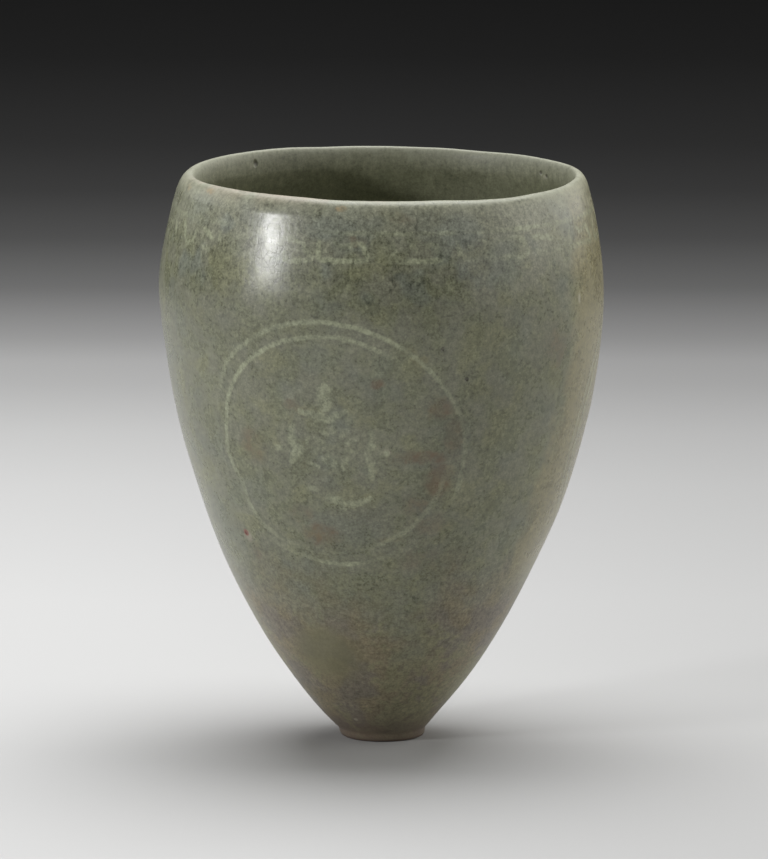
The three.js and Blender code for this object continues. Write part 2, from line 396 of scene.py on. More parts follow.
# Any point of the thrown wall, with the lean and the small waver that the hand left in it.
# Within runs from 0 on the outer wall over the lip to 1 inside.
def place(radius, height, azimuth, within=0.0):
    turn = math.radians(azimuth)
    lean, trim = leanAt(height)
    waver = sum(math.sin(times * turn + start + height / twist) for times, start, twist in cup["wavers"])
    rise = height / cup["ridgePitch"] * math.tau + math.sin(turn) + height / cup["ridgeTwist"]
    ridge = math.sin(rise)
    far = min(1.0, radius / cup["fullWaverRadius"])
    radius -= far * (cup["waver"] * (1 - waver / 2) + cup["ridge"] * (1 - ridge) + trim)
    least, leftMore = cup["lipSwell"]
    share, waves = cup["lipSwellWave"]
    swell = leftMore * (1 - math.sin(turn + cup["lipSwellTurn"])) * (1 + share * math.sin(waves * turn))
    swell = (least + swell) * within
    radius -= swell * eased((height - cup["lipSwellFrom"]) / cup["lipSwellRise"])
    depth, notches, start, groups = cup["rimNotches"]
    drop = rimDropAt(azimuth) + depth * math.sin(notches * turn + start) * math.sin(groups * turn)
    drop = max(0.0, drop) * eased((height - cup["rimDropFrom"]) / cup["rimDropRise"])
    return Vector((radius * math.sin(turn) + lean, -radius * math.cos(turn), height - drop))


def newPiece(name, points, faces, marks, material, nodes):
    mesh = bpy.data.meshes.new(name)
    mesh.from_pydata([p * mm for p in points], [], faces)
    mesh.validate()
    mesh.polygons.foreach_set("use_smooth", [True] * len(mesh.polygons))
    for key, values in marks.items():
        layer = mesh.attributes.new(key, "FLOAT", "POINT")
        layer.data.foreach_set("value", values)
    mesh.materials.append(material)
    piece = addObject(name, mesh)
    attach(piece, "root")
    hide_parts(*nodes)
    return piece


def innerRadius(height):
    return between(height, [z for _, z in innerWall], [r for r, _ in innerWall])


# One side of the lip, from the wall up to the crest, without a break where it leaves the wall
def lipSide(radiusOf, height, rise, reach):
    crestRadius, crestHeight = cup["lipCrest"]
    radius = radiusOf(height)
    slope = radius - radiusOf(height - 1)
    guides = [
        (radius, height), (radius + slope * rise, height + rise),
        (crestRadius + reach, crestHeight), (crestRadius, crestHeight),
    ]
    half = cup["lipRows"] // 2
    return [bezier(guides, i / half) for i in range(half + 1)]


def lipRows():
    outer = lipSide(radiusAt, cup["lipStart"], cup["lipOuterRise"], cup["lipOuterReach"])
    inner = lipSide(innerRadius, cup["lipEnd"], cup["lipInnerRise"], -cup["lipInnerReach"])
    rows = outer + inner[-2::-1]
    return [(r, z, i / (len(rows) - 1)) for i, (r, z) in enumerate(rows)]


def bodyRows():
    rows = [(r, z, 0.0) for r, z in wall if z < cup["lipStart"] - cup["lipGap"]]
    rows += lipRows()
    inner = [cup["innerShoulder"][0]] + curveRows(cup["innerShoulder"], cup["innerRows"])
    rows += [(r, z, 1.0) for r, z in reversed(inner) if z < cup["lipEnd"] - cup["lipGap"]]
    for i in range(cup["hollowRows"] - 1, -1, -1):
        rows.append((*bezier(cup["hollow"], i / cup["hollowRows"]), 1.0))
    return rows


# How near a place is to the top of the lip, which is painted pale: partly glaze rubbed thin, partly
# painted light, which reaches further down inside to light the back lip's inner side
def crestShare(radius, height, within, azimuth):
    away = math.dist((radius, height), cup["lipCrest"])
    outside = between((azimuth + 180) % 360 - 180, *zip(*cup["crestReach"]))
    reach = outside + (cup["insideReach"] - outside) * within
    return math.exp(-((away / reach) ** cup["crestFall"]))


def buildBody(material):
    points = []
    faces = []
    marks = {"within": [], "crest": [], "raw": []}
    rows = bodyRows()
    columns = cup["columns"]
    starts = []
    for radius, height, within in rows:
        starts.append(len(points))
        count = 1 if radius == 0 else columns
        for i in range(count):
            points.append(place(radius, height, 360 * i / columns, within))
            marks["within"].append(within)
            marks["crest"].append(crestShare(radius, height, within, 360 * i / columns))
            marks["raw"].append(0.0 if within else max(0.0, 1 - height / cup["footShade"]))
    for row in range(len(rows) - 1):
        a, b = starts[row], starts[row + 1]
        for i in range(columns):
            j = (i + 1) % columns
            if rows[row][0] == 0:
                faces.append((a, b + j, b + i))
            elif rows[row + 1][0] == 0:
                faces.append((a + i, a + j, b))
            else:
                faces.append((a + i, a + j, b + j, b + i))
    newPiece("glazed_body", points, faces, marks, material, ["cup_body"])
    print("body:", len(points), "points")


# Slip laid in the wall: a drawing is flat, across and up the wall from its own middle

slip = {
    "depth": 0.8,
    "proud": 0.02,  # the fired slip stands this much above the glaze round it
    "edgeProud": 0.01,
    "step": 0.45,
    "swell": 1.8,  # under the glaze the slip has bled past its groove
    "acrossShares": (-1.0, -0.5, 0.0, 0.5, 1.0),
    "edgeValues": (0.0, 0.6, 1.0, 0.6, 0.0),
    "taper": 0.6,
    "probe": 0.05,  # half the span that a normal is measured over
    "wallFaceLeast": 0.8,  # faces nearer to the wall's direction than this are shaded with it
    # what shows: clouds fray the edge, and the places with little slip wear away first
    "fray": {"fine": 0.5, "clump": 0.3}, "edgeFade": (0.05, 0.95), "coreFade": (0.0, 0.6),
    "wear": {"clump": 0.35, "medium": 0.8}, "keepWeight": 0.6, "wearFade": (0.52, 1.0),
}


class Drawing:
    def __init__(self, azimuth, height):
        self.azimuth = azimuth
        self.along = alongAt(height)
        self.points = []
        self.normals = []
        self.faces = []
        self.edge = []
        self.keep = []

    def onWall(self, across, up):
        height = heightAlong(self.along + up)
        radius = radiusAt(height)
        return place(radius, height, self.azimuth + math.degrees(across / radius))

    def normal(self, across, up):
        tiny = slip["probe"]
        side = self.onWall(across + tiny, up) - self.onWall(across - tiny, up)
        rise = self.onWall(across, up + tiny) - self.onWall(across, up - tiny)
        return side.cross(rise).normalized()

    def add(self, across, up, lift, edge, keep):
        out = self.normal(across, up)
        self.points.append(self.onWall(across, up) + out * lift)
        self.normals.append(out)
        self.edge.append(edge)
        self.keep.append(keep)
        return len(self.points) - 1

    # A line, cut with one stroke: path points are across, up, width and how well it is kept
    def stroke(self, path, closed=False):
        rows = resampled(path, slip["step"], closed)
        count = len(rows)
        made = []
        for i, (across, up, width, keep) in enumerate(rows):
            before = rows[i - 1] if closed or i else rows[0]
            after = rows[(i + 1) % count] if closed or i < count - 1 else rows[-1]
            dx, dy = after[0] - before[0], after[1] - before[1]
            length = math.hypot(dx, dy) or 1.0
            nx, ny = -dy / length, dx / length
            atEnd = not closed and i in (0, count - 1)
            ids = []
            for share, value in zip(slip["acrossShares"], slip["edgeValues"]):
                reach = share * width * slip["swell"] / 2
                lift = slip["edgeProud"] + (slip["proud"] - slip["edgeProud"]) * value
                value = 0.0 if atEnd else value
                ids.append(self.add(across + nx * reach, up + ny * reach, lift, value, keep))
            for share in (1.0, -1.0):
                reach = share * width * slip["swell"] / 2
                ids.append(self.add(across + nx * reach, up + ny * reach, -slip["depth"], 0.0, keep))
            made.append(ids)
        for a, b in zip(made, made[1:] + made[:1] if closed else made[1:]):
            for i in range(len(a)):
                j = (i + 1) % len(a)
                self.faces.append((a[j], a[i], b[i], b[j]))
        if not closed:
            self.faces.append(tuple(made[0]))
            self.faces.append(tuple(reversed(made[-1])))

    def ring(self, across, up, rim, share, lift, shown, spokes):
        ids = []
        for turn in (math.tau * i / spokes for i in range(spokes)):
            reach = rim(turn) * share
            spot = (across + reach * math.cos(turn), up + reach * math.sin(turn))
            ids.append(self.add(*spot, lift, shown(share, turn), 1.0))
        return ids

    def joinRings(self, inner, outer):
        for i in range(len(outer)):
            j = (i + 1) % len(outer)
            corners = (inner[i], outer[i], outer[j], inner[j])
            self.faces.append(corners[:3] if inner[i] == inner[j] else corners)

    # A round or petalled patch: rim gives its radius at a turn, shown what shows at a place
    def patch(self, across, up, rim, shown, count, spokes):
        last = [self.add(across, up, slip["proud"], shown(0.0, 0.0), 1.0)] * spokes
        for number in range(1, count):
            ids = self.ring(across, up, rim, number / count, slip["proud"], shown, spokes)
            self.joinRings(last, ids)
            last = ids
        for lift in (slip["edgeProud"], -slip["depth"]):
            ids = self.ring(across, up, rim, 1.0, lift, lambda share, turn: 0.0, spokes)
            self.joinRings(last, ids)
            last = ids
        self.faces.append(tuple(reversed(last)))

    def build(self, node, material):
        marks = {"slipEdge": self.edge, "slipKeep": self.keep}
        name = "slip_" + node
        mesh = newPiece(name, self.points, self.faces, marks, material, [node]).data
        loops = []
        for polygon in mesh.polygons:
            along = polygon.normal.dot(self.normals[polygon.vertices[0]])
            wallFace = along > slip["wallFaceLeast"]
            for vertex in polygon.vertices:
                loops.append(self.normals[vertex] if wallFace else polygon.normal.copy())
        mesh.normals_split_custom_set(loops)


# A smooth path through the given points, with a new point about every step
def resampled(path, step, closed):
    smooth = []
    count = len(path)
    spans = count if closed else count - 1
    for i in range(spans):
        p1, p2 = path[i], path[(i + 1) % count]
        p0 = path[i - 1] if closed or i else p1
        p3 = path[(i + 2) % count] if closed or i < spans - 1 else p2
        pieces = max(1, round(math.hypot(p2[0] - p1[0], p2[1] - p1[1]) / step))
        for k in range(pieces):
            t = k / pieces
            smooth.append(tuple(
                0.5 * (2 * b + (c - a) * t + (2 * a - 5 * b + 4 * c - d) * t * t
                       + (3 * b - a - 3 * c + d) * t**3)
                for a, b, c, d in zip(p0, p1, p2, p3)
            ))
    if not closed:
        smooth.append(path[-1])
    return smooth


# The band below the mouth

band = {
    "bottom": 108.8,
    "lineHeights": [(-180, 114.5), (-60, 114.7), (-6, 114.6), (33, 114.2), (49, 114.05), (180, 114.5)],
    "lineKeep": [(-180, 0.5), (-100, 0.5), (-75, 0.4), (-60, 0.3), (-20, 0.2), (-8, 0.45), (4, 0.5),
                 (12, 0.35), (24, 0.35), (34, 0.55), (52, 0.6), (62, 0.4), (80, 0.5), (180, 0.5)],
    "lineStep": 3, "lineWobble": 0.05, "lineFading": (0.7, 1.2),
    "lineWidth": 1.05,
    "strokeWidth": 1.1,
    "show": 1.05,
    # each front fret: strokes of azimuth, height and how well the slip is kept
    "front": [
        [[(-83, 113, .3), (-82.5, 109.4, .3), (-74, 109.3, .45), (-73, 111, .6), (-74.5, 113, .4)],
         [(-80, 112.8, .3), (-77.6, 111.2, .4)]],
        [[(-67.3, 113.6, .6), (-66, 111.4, .7), (-63.7, 109.5, .6), (-60.4, 109.7, .6),
          (-59.2, 112.6, .5)],
         [(-56.4, 113, .5), (-55.2, 112.7, .6), (-52.4, 111.4, .7), (-51, 110.7, .5)],
         [(-56, 109.1, .4), (-53, 108.9, .5), (-50.4, 109, .4)]],
        [[(-48.6, 113.2, .3), (-48.4, 111.4, .45), (-47.4, 109.2, .4), (-41, 109, .3), (-35, 109, .3)],
         [(-46.4, 112.5, .4), (-42, 112.4, .3), (-37.4, 112.3, .4), (-36.6, 110.6, .3)]],
        [[(-26.7, 110.6, .5), (-26.4, 109.2, .55), (-25.4, 108.5, .6), (-21, 108.6, .6),
          (-17.9, 108.9, .5)],
         [(-21.4, 112.6, .4), (-20.9, 111.1, .6), (-19.2, 109.8, .6), (-17.9, 109, .5)],
         [(-29.6, 112.6, .25), (-26.4, 113, .3), (-24, 112.7, .6), (-21.7, 112.4, .5)],
         [(-31.6, 112.9, .25), (-31, 109, .25), (-27, 108.7, .3)]],
        [[(-16.9, 113.2, .5), (-16.9, 111, .65), (-16.1, 109.1, .8), (-10, 108.85, .75),
          (-3.2, 109.1, .8)],
         [(-3.4, 109.3, .7), (-4.3, 110.6, .8), (-5.2, 112, .75), (-6.6, 112.4, .5), (-10.9, 111.8, .5),
          (-13.2, 113.1, .4)]],
        [[(2.7, 113.3, .4), (3, 111.2, .45), (4.7, 109, .5), (9, 108.8, .75), (14.6, 108.9, .7),
          (16.2, 109.3, .4)],
         [(6.6, 113.3, .4), (8, 112, .45), (9.4, 110.8, .25)],
         [(10.9, 112.2, .35), (13.8, 112, .45), (15, 110.6, .3), (15.8, 109.4, .3)]],
        [[(20.3, 113, .25), (20.4, 111.6, .45), (21.4, 109.6, .5), (24, 108.7, .3), (30.4, 108.6, .3),
          (35.6, 108.6, .5), (40.9, 108.6, .6), (41.6, 109.8, .5), (40.2, 111.8, .5), (37, 112.4, .35),
          (32, 112, .3)],
         [(26, 112.6, .4), (28.8, 112.2, .4)]],
        [[(43.9, 113, .3), (44.1, 112, .5), (47.5, 111.8, .6), (50.9, 111.3, .6), (52.4, 110.4, .3)],
         [(44.6, 109.8, .3), (46, 108.7, .4), (52, 108.5, .4), (57, 108.6, .3), (55.4, 111.4, .3)]],
    ],
    "rearPath": [(0, .7), (.055, 0), (.53, 0), (1, 0), (.87, .44), (.8, .62), (.44, .49), (.27, .72)],
    "rearCount": 12, "rearStart": 60.0, "rearEnd": 276.0, "rearShare": 0.76,
    "rearRise": 5.2, "rearWobble": 0.02, "rearRiseWobble": 0.03,
    "rearKeep": (0.4, 0.75),
}


def bandStroke(drawing, points, width):
    path = []
    for azimuth, height, keep in points:
        across = math.radians(azimuth - drawing.azimuth) * radiusAt(height)
        path.append((across, alongAt(height) - drawing.along, width, min(1.0, keep * band["show"])))
    drawing.stroke(tapered(path))


# Strokes narrow a little where the knife went in and came out
def tapered(path):
    first, last = path[0], path[-1]
    path[0] = (*first[:2], first[2] * slip["taper"], first[3])
    path[-1] = (*last[:2], last[2] * slip["taper"], last[3])
    return path


def buildBand(material):
    line = Drawing(0.0, band["bottom"])
    path = []
    wobble = band["lineWobble"]
    for azimuth in range(-180, 180, band["lineStep"]):
        height = between(azimuth, *zip(*band["lineHeights"])) + rand.uniform(-wobble, wobble)
        keep = between(azimuth, *zip(*band["lineKeep"])) * rand.uniform(*band["lineFading"])
        across = math.radians(azimuth) * radiusAt(height)
        path.append((across, alongAt(height) - line.along, band["lineWidth"], keep))
    line.stroke(path)
    line.build("band_upper_line", material)
    for number, strokes in enumerate(band["front"]):
        middle = sum(p[0] for p in strokes[0]) / len(strokes[0])
        fret = Drawing(middle, band["bottom"])
        for points in strokes:
            bandStroke(fret, points, band["strokeWidth"])
        fret.build(f"band_fret_{number + 1:02d}", material)
    pitch = (band["rearEnd"] - band["rearStart"]) / band["rearCount"]
    wobble, riseWobble = band["rearWobble"], band["rearRiseWobble"]
    for number in range(band["rearCount"]):
        start = band["rearStart"] + pitch * number
        width = pitch * band["rearShare"]
        fret = Drawing(start + width / 2, band["bottom"])
        points = []
        for across, rise in band["rearPath"]:
            azimuth = start + width * (across + rand.uniform(-wobble, wobble))
            height = band["bottom"] + band["rearRise"] * (rise + rand.uniform(-riseWobble, riseWobble))
            points.append((azimuth, height, rand.uniform(*band["rearKeep"])))
        bandStroke(fret, points, band["strokeWidth"])
        fret.build(f"band_fret_{len(band['front']) + number + 1:02d}", material)
    print("band laid")


# The three flower rings: the first is the one in the photo

rings = {
    "count": 3, "firstAzimuth": -15.1, "height": 69.1,
    "step": 4,
    "width": 0.95,
    # turn from the right, counter-clockwise, radius, how well it is kept
    "outer": [
        (0, 29, .5), (5, 29.2, .5), (15, 29.1, .55), (23, 28.7, .5), (33, 28.2, .6), (51, 27.6, .7),
        (66, 27.3, .8), (80, 27.2, .9), (90, 27.4, .9), (105, 27.6, .8), (120, 28, .75), (131, 28.3, .7),
        (143, 29.3, .6), (149, 29.2, .5), (158, 28.6, .25), (190, 28, .12), (220, 27.3, .12),
        (245, 26.7, .3), (258, 26.6, .55), (264, 26.8, .65), (276, 27.1, .65), (289, 27.1, .35),
        (310, 27.7, .12), (330, 28.2, .2), (343, 28.4, .45), (352, 28.6, .5),
    ],
    "inner": [
        (10, 25.3, .15), (30, 24.9, .12), (48, 24.6, .2), (64, 24.4, .65), (79, 24.4, .7),
        (92, 24.3, .7), (100, 24.2, .75), (116, 24.7, .85), (128, 24.9, 1), (138, 25.5, 1),
        (148, 25.6, .75), (158, 25.8, .8), (172, 25.4, .75), (186, 25.5, .6), (195, 24.9, .6),
        (204, 24, .5), (216, 25.4, .5), (228, 25.6, .45), (247, 25, .3), (270, 24.4, .2),
        (284, 23.9, .25), (298, 23.9, .5), (310, 24.1, .55), (319, 24.1, .5), (327, 24.3, .5),
        (334, 24.6, .5), (343, 24.7, .45), (352, 25.3, .2),
    ],
    "rearRadii": (27.6, 24.9),
    "rearKeep": (0.25, 0.95), "rearFading": (0.6, 1.0), "rearStep": 20, "rearWobble": 0.25,
    "rearLeafKeep": (0.4, 0.8),
    "leafShow": 1.12,
    "headCentre": (1.4, 0.65), "headRadius": 5.3, "headRings": 12, "headSpokes": 120,
    # the head's edge: its least and further share of the radius, and how round its petals are
    "petals": 10, "petalEdge": (0.82, 0.18, 0.6),
    # the flower is nearly worn away: what shows in its heart, round it and on its petals
    "heartReach": 0.21, "heartShow": 0.34, "ditchReach": 0.345, "ditchShow": 0.2,
    "petalShow": 0.28, "petalSharp": 1.2, "petalStart": 0.25, "petalLength": 0.85, "petalFall": 0.8,
    # what is left of the petals' edges, as strokes of across, up, width, kept
    "petalArcs": [
        [(-.9, -3.1, .7, .6), (.6, -2.9, .8, .8), (2.1, -3.5, .8, .8), (3.4, -4.9, .6, .6)],
        [(-5.0, -3.5, .6, .4), (-3.6, -3.6, .8, .6), (-1.9, -4.4, .6, .5)],
        [(-3.9, 3.0, .6, .4), (-4.6, 1.6, .8, .5), (-4.4, .2, .6, .4)],
        [(.6, 3.6, .6, .4), (2.5, 3.0, .8, .5), (4.4, 1.6, .6, .5)],
        [(-3.2, -1.3, .6, .5), (-1.3, -.2, .8, .5), (-.9, 1.8, .6, .4)],
        [(2.4, -1.2, .6, .5), (3.9, -2.4, .8, .5), (5.4, -2.8, .6, .4)],
    ],
    # leaves as strokes of across, up, width, kept
    "leaves": [
        [[(-.3, 14.7, .5, .4), (-.3, 13.3, 2.4, .6), (-.35, 11.6, 3.0, .65), (-.4, 9.6, 2.4, .7),
          (-.4, 8.0, 1.4, .5)],
         [(-6.5, 8.1, .9, .75), (-4, 7.6, 1.4, .7), (-1.4, 6.9, 1.9, .65), (.9, 6.5, 1.8, .5),
          (2.2, 7.5, 1.5, .5), (4.8, 8.7, .8, .45)]],
        [[(-7.4, 5.4, .8, .6), (-8.1, 3.4, 1.4, .6), (-7.9, 1.2, 1.9, .6), (-6.9, -.5, 2.2, .75),
          (-7.8, -2.2, 1.7, .65), (-8.9, -4, .9, .5)],
         [(-12.4, -.5, .7, .4), (-11.2, -.5, 1.5, .5), (-9.6, -.5, 1.3, .3), (-8.4, -.4, 1.2, .3)]],
        [[(-1.6, -10.8, .9, .5), (.4, -11.6, 1.6, .75), (1.8, -12.4, 1.9, .7), (2.3, -14.6, .8, .5)],
         [(1.4, -12, 1.4, .6), (3.4, -12.5, 1.4, .6), (5.6, -12.2, 1.4, .65), (8.7, -10.8, .8, .6)],
         [(-5.8, -9.4, .8, .5), (-4.4, -9.2, 1.2, .55), (-2.6, -9.9, .9, .25), (-1.4, -10.6, .9, .3)]],
        [[(9.1, 4.6, .8, .45), (9.3, 2.6, 1.4, .5), (9.0, .6, 1.6, .5), (8.2, -1.4, 1.4, .3),
          (8.9, -3.4, 1.5, .5), (8.9, -5.2, 1.5, .55), (8.8, -7.3, .8, .45)],
         [(9.2, -.8, 1.1, .3), (10.8, -.7, 1.2, .25), (12.2, -.7, 1.5, .8), (13.0, -.7, .8, .6)]],
    ],
    "rearArms": [(-5.8, 8.3, .9), (-2.9, 7.6, 1.4), (0, 6.5, 1.7), (2.6, 7.8, 1.4), (5.4, 8.8, .8)],
    "rearTip": [(0, 7.0, 1.0), (0, 9.8, 2.8), (0, 12.1, 1.9), (0, 13.4, .5)],
}


def ringPath(marks, width):
    path = []
    (firstTurn, *first), (lastTurn, *last) = marks[0], marks[-1]
    allRound = [(lastTurn - 360, *last), *marks, (firstTurn + 360, *first)]
    turns, radii, keeps = zip(*allRound)
    for degrees in range(0, 360, rings["step"]):
        radius = between(degrees, turns, radii)
        keep = between(degrees, turns, keeps)
        turn = math.radians(degrees)
        path.append((radius * math.cos(turn), radius * math.sin(turn), width, keep))
    return path


def rearRing(radius):
    low, high = rings["rearKeep"]
    wobble = rings["rearWobble"]
    start = rand.uniform(0, 360)
    marks = []
    for degrees in range(0, 360, rings["rearStep"]):
        wave = (1 + math.sin(math.radians(degrees + start))) / 2
        keep = low + (high - low) * wave * rand.uniform(*rings["rearFading"])
        marks.append((degrees, radius + rand.uniform(-wobble, wobble), keep))
    return marks


def turned(points, quarter):
    turn = math.pi / 2 * quarter
    c, s = math.cos(turn), math.sin(turn)
    return [(x * c - y * s, x * s + y * c, *rest) for x, y, *rest in points]


def petalWave(turn):
    return abs(math.sin(turn * rings["petals"] / 2))


def petalRim(turn):
    least, more, roundness = rings["petalEdge"]
    return rings["headRadius"] * (least + more * petalWave(turn) ** roundness)


def petalShow(share, turn):
    if share < rings["heartReach"]:
        return rings["heartShow"]
    if share < rings["ditchReach"]:
        return rings["ditchShow"]
    wave = petalWave(turn) ** rings["petalSharp"]
    along = min(1.0, (share - rings["petalStart"]) / rings["petalLength"])
    return rings["ditchShow"] + rings["petalShow"] * wave * math.sin(math.pi * along) ** rings["petalFall"]


def buildRing(number, material):
    azimuth = rings["firstAzimuth"] + 360 * number / rings["count"]
    name = f"medallion_{number + 1}_"
    first = number == 0
    for part, radius in zip(("outer", "inner"), rings["rearRadii"]):
        marks = rings[part] if first else rearRing(radius)
        ring = Drawing(azimuth, rings["height"])
        ring.stroke(ringPath(marks, rings["width"]), closed=True)
        ring.build(name + part + "_ring", material)
    head = Drawing(azimuth, rings["height"])
    centre = rings["headCentre"] if first else (0.0, 0.0)
    head.patch(*centre, petalRim, petalShow, rings["headRings"], rings["headSpokes"])
    for arc in rings["petalArcs"]:
        head.stroke(arc)
    head.build(name + "flower_head", material)
    for quarter in range(4):
        leaf = Drawing(azimuth, rings["height"])
        if first:
            strokes = [
                [(*spot, min(1.0, keep * rings["leafShow"])) for *spot, keep in points]
                for points in rings["leaves"][quarter]
            ]
        else:
            keep = rand.uniform(*rings["rearLeafKeep"])
            strokes = [
                turned([(*p, keep) for p in rings[key]], quarter) for key in ("rearArms", "rearTip")
            ]
        for points in strokes:
            leaf.stroke(points)
        leaf.build(f"{name}leaf_{quarter + 1}", material)
    print("ring", number + 1, "laid")


# Glaze: one skin for the body and the slip, so the slip lines meet the body without a seam

glaze = {
    "green": (0.179, 0.186, 0.118),
    "grey": (0.183, 0.186, 0.132),
    "blue": (0.138, 0.16, 0.144),
    "yellow": (0.203, 0.205, 0.115),
    "brown": (0.236, 0.196, 0.122),
    "khaki": (0.228, 0.212, 0.124),
    # warm: the colour of the real warm stains, and of the painted warm sheen on the right side
    "warm": (0.246, 0.222, 0.126),
    "smooth": (0.192, 0.182, 0.104),
    "inside": (0.172, 0.178, 0.112),
    # painted light inside: lighter near the mouth, with the plain inside colour deeper down in painted
    # shade
    "insideLitRim": (0.25, 0.255, 0.175),
    "pale": (0.25, 0.255, 0.19),
    "mauve": (0.2, 0.172, 0.136),
    # the pale lip's colour: glaze rubbed thin, and painted light on the lip's top
    "wornLitLip": (0.29, 0.295, 0.228),
    "pink": (0.335, 0.295, 0.235),
    "ochre": (0.33, 0.245, 0.13),
    "clay": (0.13, 0.094, 0.072),
    "crack": (0.105, 0.105, 0.075),
    "rust": (0.148, 0.096, 0.056),
    "redSpot": (0.2, 0.06, 0.038),
    "pit": (0.045, 0.038, 0.03),
    "fleck": (0.45, 0.43, 0.33),
    "slip": (0.295, 0.312, 0.208),
    "warpScale": 0.45, "warpDetail": 3.0, "warpReach": 3.4,
    "streakStretch": (1, 1, 0.18), "streakSize": 0.9, "streakDetail": 2.0,
    "crackScale": 0.62, "crackWarp": 0.25,
    "sheenLean": 0.15, "sheenLeanFrom": 100,  # the painted warm sheen's edge leans by degrees for each millimetre
    "blueLeast": 0.2, "blueShoulder": 0.25,
    # how lively the grain is: on the smooth patch, inside, and on the shoulder
    "smoothCalm": 0.72, "insideGrain": 0.75, "shoulderGrain": 0.3,
    "livelyTone": {"fine": 1.2, "grain": 0.85, "clump": 0.36},
    "broadTone": {"broad": 0.42, "medium": 0.42},
    "streakTone": 0.5,
    "stainCloud": {"fine": 0.9, "clump": 1.2, "medium": 1.0}, "stainLeast": 0.25, "stainClump": 0.7,
    "ochreCloud": {"fine": 1.0, "clump": 1.0},
    "wornLitLipMean": 0.8, "wornLitLipSwing": {"medium": 1.2, "fine": 1.6},
    "roughness": 0.285, "roughSwing": {"medium": 0.16, "fine": 0.08},
    "roughEarth": 0.12, "roughWorn": 0.22, "roughRaw": 0.5, "roughInside": 0.2,
    # the heights of the bumps, in millimetres
    "bumps": {"fine": 0.008, "medium": 0.022, "grain": 0.004},
    "streakBump": 0.012, "crackDepth": 0.006, "pitDepth": 0.35,
    "gloss": {"IOR": 1.5, "Specular IOR Level": 0.5},
}

# How much of each colour is mixed in where it is strongest
shares = {
    "yellow": 0.55, "earth": 0.85, "paintedWarmSheen": 0.85, "smooth": 0.75, "pale": 0.55, "crack": 0.3,
    "rust": 0.95, "warm": 0.7, "wornLitLip": 0.9, "foot": 0.7,
}

# Each cloud of noise: its size in millimetres, detail, roughness and where it is taken from
clouds = {
    "broad": (21.0, 2.0, 0.5, (0, 0, 0)),
    "medium": (5.5, 3.0, 0.5, (31, 7, 3)),
    "patchy": (8.0, 2.0, 0.5, (5, 71, 9)),
    "fine": (0.95, 2.0, 0.6, (0, 0, 0)),
    "grain": (0.42, 1.0, 0.5, (3, 3, 3)),
    "clump": (2.3, 1.5, 0.5, (17, 5, 41)),
}

# Each zone: how far the clouds move its edge, where it starts and where it is full. Zones of
# height and place are in millimetres, the painted warm sheen's in degrees, the rest in a cloud's values.
zones = {
    "earth": ({"broad": 46, "medium": 26}, 44, 20),
    "shoulder": ({}, 96, 106),
    "rim": ({"medium": 5}, 105, 119),
    "innerLitRim": ({"clump": 6}, 113, 119.5),
    "foot": ({"clump": 5}, 9, 1.5),
    "raw": ({"fine": 0.4}, 0.2, 0.7),
    "sheenNear": ({"medium": 14}, 57, 64),
    "sheenFar": ({}, 128, 92),
    "sheenLow": ({}, 30, 42),
    "leftHalf": ({}, 5, -8),
    "frontHalf": ({}, 0, -20),
    "grey": ({}, 0.38, 0.62),
    "yellow": ({}, 0.55, 0.68),
    "blue": ({}, 0.48, 0.34),
    "mauve": ({}, 0.44, 0.6),
    "khaki": ({"clump": 0.5}, 0.5, 0.62),
    "pink": ({}, 0.44, 0.58),
    "crack": ({}, 0.075, 0.0),
    "cracked": ({}, 0.35, 0.6),
    "stained": ({}, 1.3, 1.85),
    "ochre": ({}, 0.75, 1.15),
    "spot": ({}, 1.5, 0.55),  # times a spot's own size, from its middle
}

